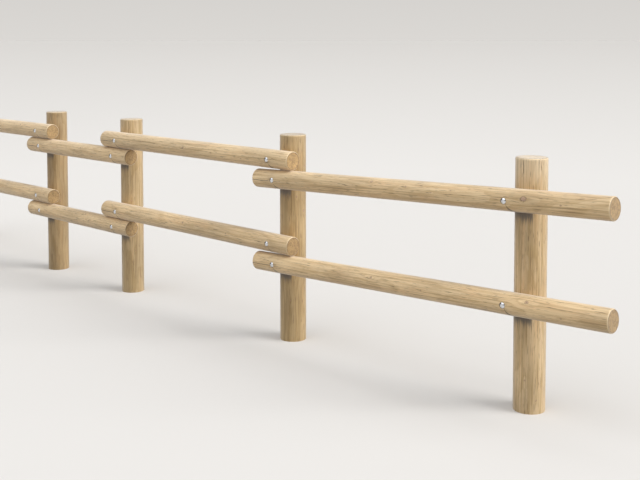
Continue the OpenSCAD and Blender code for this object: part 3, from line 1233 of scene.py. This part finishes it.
def add_lamp(name, azimuth, height, softness, shade, strength):
    light = bpy.data.lights.new(name, "SUN")
    light.energy, light.angle, light.color = strength, math.radians(softness), shade
    a, h = math.radians(azimuth), math.radians(height)
    toward = Vector((math.sin(a) * math.cos(h), -math.cos(a) * math.cos(h), math.sin(h)))
    lamp = bpy.data.objects.new(name, light)
    lamp.rotation_euler = toward.to_track_quat("Z", "Y").to_euler()
    bpy.context.scene.collection.objects.link(lamp)


def light_on_floor(stage):
    """How brightly the lamps and the sky light the open floor, as a colour."""
    total = [stage.sky] * 3
    for name, _, height, _, shade in LAMPS:
        share = getattr(stage, name) * math.sin(math.radians(height)) / math.pi
        total = [level + share * part for level, part in zip(total, shade)]
    return total


# The floor is a disc with a painted pool of light. It takes its darker far colour with the distance from a
# place in front of the fence, which is stated from the last post, and the fade sets how fast.
FLOOR_RADIUS = 900.0
FLOOR_SIDES = 96
NEAR_FLOOR = (-1.0, -1.2)
FLOOR_FADE = 10.0
# The camera's place from the last post's foot, and how far it is tipped down and turned left, in degrees.
CAMERA_PLACE = (2.184, -3.623, 1.605)
CAMERA_PITCH, CAMERA_YAW = 3.18, 43.48
CAMERA_LENS, CAMERA_SHIFT = 54.5, -0.23


class FENCE_OT_stage(bpy.types.Operator):
    """Makes the floor, the light and the camera"""

    bl_idname = "fence.stage"
    bl_label = "Stage"

    def execute(self, context):
        stage = context.scene.fence_stage
        self.make_floor(stage)
        self.make_light(stage)
        self.make_camera()
        return {"FINISHED"}

    def make_floor(self, stage):
        lo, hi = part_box(POSTS[-1])
        points = []
        for step in range(FLOOR_SIDES):
            turn = TURN * step / FLOOR_SIDES
            points.append((FLOOR_RADIUS * math.cos(turn), FLOOR_RADIUS * math.sin(turn), lo.z))
        floor = add_object("floor", points, [tuple(range(FLOOR_SIDES))])
        material, nodes, shader = new_material("floor")
        place = nodes.add("NewGeometry").outputs["Position"]
        away = nodes.length(nodes.apart(place, (mid(lo, hi, 0) + NEAR_FLOOR[0], NEAR_FLOOR[1], 0)))
        far = nodes.ratio(away, nodes.plus(away, FLOOR_FADE))
        far = nodes.add("MapRange", {"Value": far, "From Min": 0.45, "From Max": 1.0}).outputs[0]
        # Painted pool of light: the floor goes from its near colour to its darker far colour with the
        # distance.
        tone = nodes.blend(far, colour4(stage.floor), colour4(stage.far_floor))
        path = nodes.add("LightPath").outputs
        seen = nodes.larger(path["Is Camera Ray"], path["Is Glossy Ray"])
        seen = nodes.larger(seen, path["Is Transmission Ray"])
        nodes.put(shader.inputs["Base Color"], nodes.blend(seen, colour4(stage.bounce), tone))
        shader.inputs["Roughness"].default_value = 0.9
        shader.inputs["Specular IOR Level"].default_value = 0.0
        floor.data.materials.append(material)

    def make_light(self, stage):
        world = bpy.data.worlds.new("studio")
        bpy.context.scene.world = world
        world.use_nodes = True
        nodes = Nodes(world.node_tree)
        background = world.node_tree.nodes["Background"]
        path = nodes.add("LightPath").outputs
        rise = nodes.parts(nodes.add("TexCoord").outputs["Generated"])[2]
        fade = nodes.add("MapRange", {"Value": rise, "From Max": 0.12}).outputs[0]
        horizon = [level * part for level, part in zip(light_on_floor(stage), stage.far_floor)]
        upper = [0.86 * part for part in horizon]
        backdrop = nodes.blend(fade, colour4(horizon), colour4(upper))
        band = nodes.step(rise, 0.42, 0.55)
        above = nodes.blend(band, (0.03, 0.03, 0.033, 1), (0.9, 0.9, 0.9, 1))
        shown = nodes.larger(path["Is Camera Ray"], path["Is Transmission Ray"])
        sky = colour4([stage.sky] * 3)
        light = nodes.blend(path["Is Glossy Ray"], sky, above)
        nodes.put(background.inputs["Color"], nodes.blend(shown, light, backdrop))
        for lamp in LAMPS:
            add_lamp(*lamp, getattr(stage, lamp[0]))

    def make_camera(self):
        lo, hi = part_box(POSTS[-1])
        camera = bpy.data.cameras.new("camera")
        camera.lens, camera.shift_y = CAMERA_LENS, CAMERA_SHIFT
        camera.clip_start, camera.clip_end = 0.05, 2000
        viewer = bpy.data.objects.new("camera", camera)
        right, front, up = CAMERA_PLACE
        viewer.location = (mid(lo, hi, 0) + right, mid(lo, hi, 1) + front, lo.z + up)
        viewer.rotation_euler = (math.radians(90 - CAMERA_PITCH), 0, math.radians(CAMERA_YAW))
        bpy.context.scene.collection.objects.link(viewer)
        bpy.context.scene.camera = viewer


class FENCE_PT_pieces(bpy.types.Panel):
    """Lists the fence's pieces, sizes and colours"""

    bl_idname = "FENCE_PT_pieces"
    bl_label = "Wooden Rail Fence"
    bl_space_type = "VIEW_3D"
    bl_region_type = "UI"
    bl_category = "Fence"

    def draw(self, context):
        for operator in OPERATORS:
            self.layout.operator(operator.bl_idname)
        for group, name in GROUPS.items():
            box = self.layout.box()
            for setting in group.__annotations__:
                box.prop(getattr(context.scene, name), setting)


OPERATORS = (FENCE_OT_posts, FENCE_OT_rails, FENCE_OT_bolts, FENCE_OT_washers, FENCE_OT_nuts,
             FENCE_OT_stage)
GROUPS = {FenceWood: "fence_wood", FenceSteel: "fence_steel", FenceStage: "fence_stage"}


def register():
    for kind in (*GROUPS, *OPERATORS, FENCE_PT_pieces):
        bpy.utils.register_class(kind)
    for group, name in GROUPS.items():
        setattr(bpy.types.Scene, name, bpy.props.PointerProperty(type=group))


def unregister():
    for name in GROUPS.values():
        delattr(bpy.types.Scene, name)
    for kind in reversed((*GROUPS, *OPERATORS, FENCE_PT_pieces)):
        bpy.utils.unregister_class(kind)


def main():
    register()
    bpy.context.scene.view_settings.view_transform = "Standard"
    for operator in OPERATORS:
        category, name = operator.bl_idname.split(".")
        getattr(getattr(bpy.ops, category), name)()


if __name__ == "__main__":
    main()
